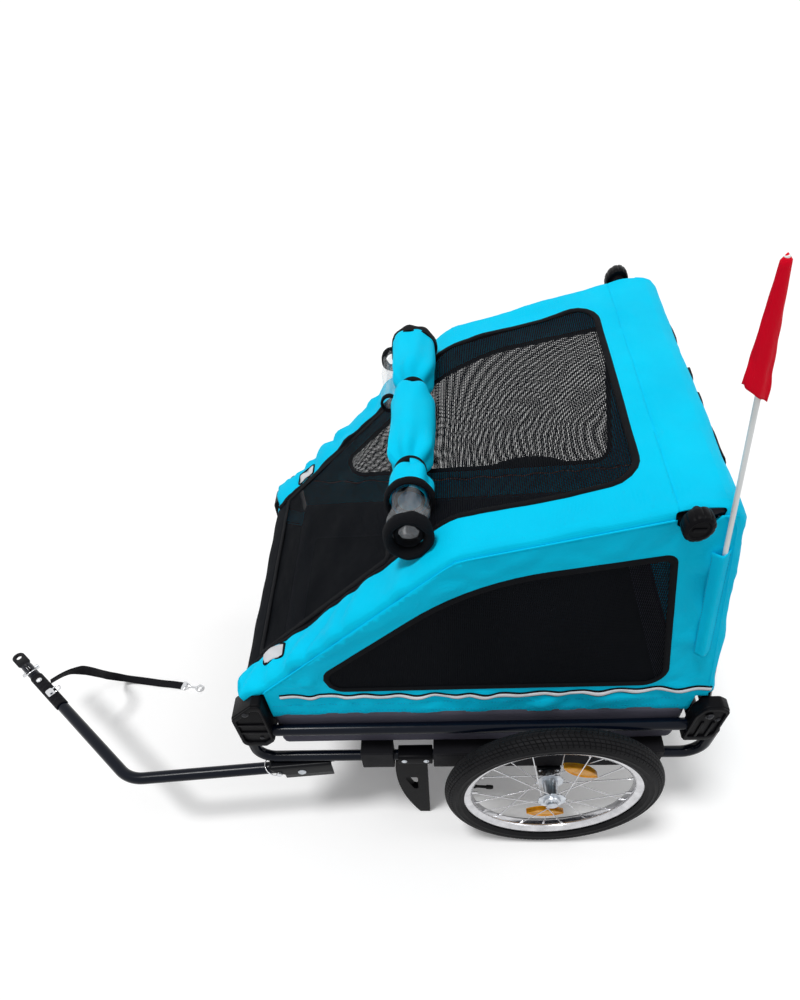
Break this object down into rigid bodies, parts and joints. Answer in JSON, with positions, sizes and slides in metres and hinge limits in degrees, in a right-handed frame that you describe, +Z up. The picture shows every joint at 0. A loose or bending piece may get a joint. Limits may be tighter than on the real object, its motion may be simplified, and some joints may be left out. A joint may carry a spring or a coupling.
{
  "type": "dog bike trailer",
  "caption": "Two-wheeled folding cloth cabin trailer that carries a dog behind a bicycle, with a bent side drawbar, mesh windows, a lifting front door and parking feet.",
  "frame": {"origin": "centre of the plan outline on the ground the wheels and feet stand on", "axes": "+X rearward, away from the bicycle; +Y to the right seen from behind; +Z up"},
  "size_m": [1.4994, 0.7948, 1.018],
  "materials": {
    "black_tube": "gloss black paint",
    "black_plastic": "moulded matt black",
    "black_webbing": "woven black webbing",
    "tyre": "matt rubber",
    "steel": "bright zinc and steel",
    "chrome": "polished",
    "amber": "clear amber moulding",
    "blue_cloth": "coated woven cloth",
    "black_mesh": "open black net",
    "grey_cloth": "coated grey cloth",
    "board": "stiff dark board",
    "silver_tab": "reflective tape",
    "white_pole": "glossy white",
    "red_cloth": "thin bright cloth"
  },
  "bodies": {
    "chassis": {"side_rail_left": "black_tube", "side_rail_right": "black_tube", "runner_left": "black_tube", "runner_right": "black_tube", "front_cross_tube": "black_tube", "rear_cross_tube": "black_tube", "front_bracket_left": "black_plastic", "front_bracket_right": "black_plastic", "rear_bracket_left": "black_plastic", "rear_bracket_right": "black_plastic", "frame_bolts": "steel", "floor_tub": "grey_cloth", "floor_board": "board", "front_sleeves": "black_webbing", "wheel_guard_left": "black_webbing", "wheel_guard_right": "black_webbing", "axle_receivers": "black_tube", "axle_left": "steel", "axle_right": "steel", "parking_foot_left": "black_plastic", "parking_foot_right": "black_plastic", "drawbar_channel": "black_tube", "side_panel_left": "blue_cloth", "side_panel_right": "blue_cloth", "side_meshes": "black_mesh", "rear_panel": "blue_cloth"},
    "left_wheel": {"tyre_left": "tyre", "rim_left": "steel", "hub_left": "steel", "hub_bearings_left": "steel", "spokes_left": "steel", "wheel_reflectors_left": "amber"},
    "right_wheel": {"tyre_right": "tyre", "rim_right": "steel", "hub_right": "steel", "hub_bearings_right": "steel", "spokes_right": "steel", "wheel_reflectors_right": "amber"},
    "drawbar": {"drawbar_tube": "black_tube", "drawbar_lock_pin": "chrome", "coupler_pin": "chrome", "strap_anchor": "black_webbing", "strap_clip": "chrome", "safety_strap": "black_webbing", "snap_hook": "chrome"},
    "coupler": {"hitch_coupler": "black_tube"},
    "front_frame": {"front_arm_left": "black_tube", "front_arm_right": "black_tube", "roof_panel": "blue_cloth", "roof_mesh": "black_mesh", "rain_cover_roll": "blue_cloth", "front_tabs": "silver_tab"},
    "front_flap": {"front_door": "black_mesh"},
    "rear_frame": {"rear_hoop": "black_tube", "flag_pocket": "blue_cloth"},
    "left_knob": {"lock_knob_left": "black_plastic"},
    "right_knob": {"lock_knob_right": "black_plastic"},
    "flag": {"flag_pole": "white_pole", "flag_cloth": "red_cloth"}
  },
  "joints": [
    {"name": "left_wheel_spin", "type": "hinge", "parent": "chassis", "child": "left_wheel", "pos_m": [0.46824, -0.365, 0.2], "axis": [0, 1, 0], "continuous": true},
    {"name": "right_wheel_spin", "type": "hinge", "parent": "chassis", "child": "right_wheel", "pos_m": [0.46824, 0.365, 0.2], "axis": [0, 1, 0], "continuous": true},
    {"name": "drawbar_fold", "type": "hinge", "parent": "chassis", "child": "drawbar", "pos_m": [-0.01576, -0.305, 0.203], "axis": [0.0837, -0.9965, 0], "range_deg": [0, 80]},
    {"name": "coupler_pitch", "type": "hinge", "parent": "drawbar", "child": "coupler", "pos_m": [-0.6927, -0.04213, 0.203], "axis": [-0.6752, -0.7376, 0], "range_deg": [-25, 25]},
    {"name": "rear_fold", "type": "hinge", "parent": "chassis", "child": "rear_frame", "pos_m": [0.70824, 0, 0.37], "axis": [0, -1, 0], "range_deg": [0, 68], "deforming": ["side_panel_left", "side_panel_right", "side_meshes", "rear_panel"]},
    {"name": "front_fold", "type": "hinge", "parent": "chassis", "child": "front_frame", "pos_m": [-0.07676, 0, 0.4], "axis": [0, 1, 0], "range_deg": [0, 28.8]},
    {"name": "front_door_lift", "type": "hinge", "parent": "front_frame", "child": "front_flap", "pos_m": [0.19834, 0, 0.64592], "axis": [0, 1, 0], "range_deg": [0, 85]},
    {"name": "left_knob_turn", "type": "hinge", "parent": "rear_frame", "child": "left_knob", "pos_m": [0.56524, -0.3, 0.757], "axis": [0, 1, 0], "continuous": true},
    {"name": "right_knob_turn", "type": "hinge", "parent": "rear_frame", "child": "right_knob", "pos_m": [0.56524, 0.3, 0.757], "axis": [0, 1, 0], "continuous": true},
    {"name": "flag_lift", "type": "slide", "parent": "rear_frame", "child": "flag", "axis": [-0.2011, 0, 0.9796], "range_m": [0, 0.19]}
  ],
  "couplings": [
    {"joint": "front_fold", "follows": "rear_fold", "ratio": 0.42353}
  ]
}
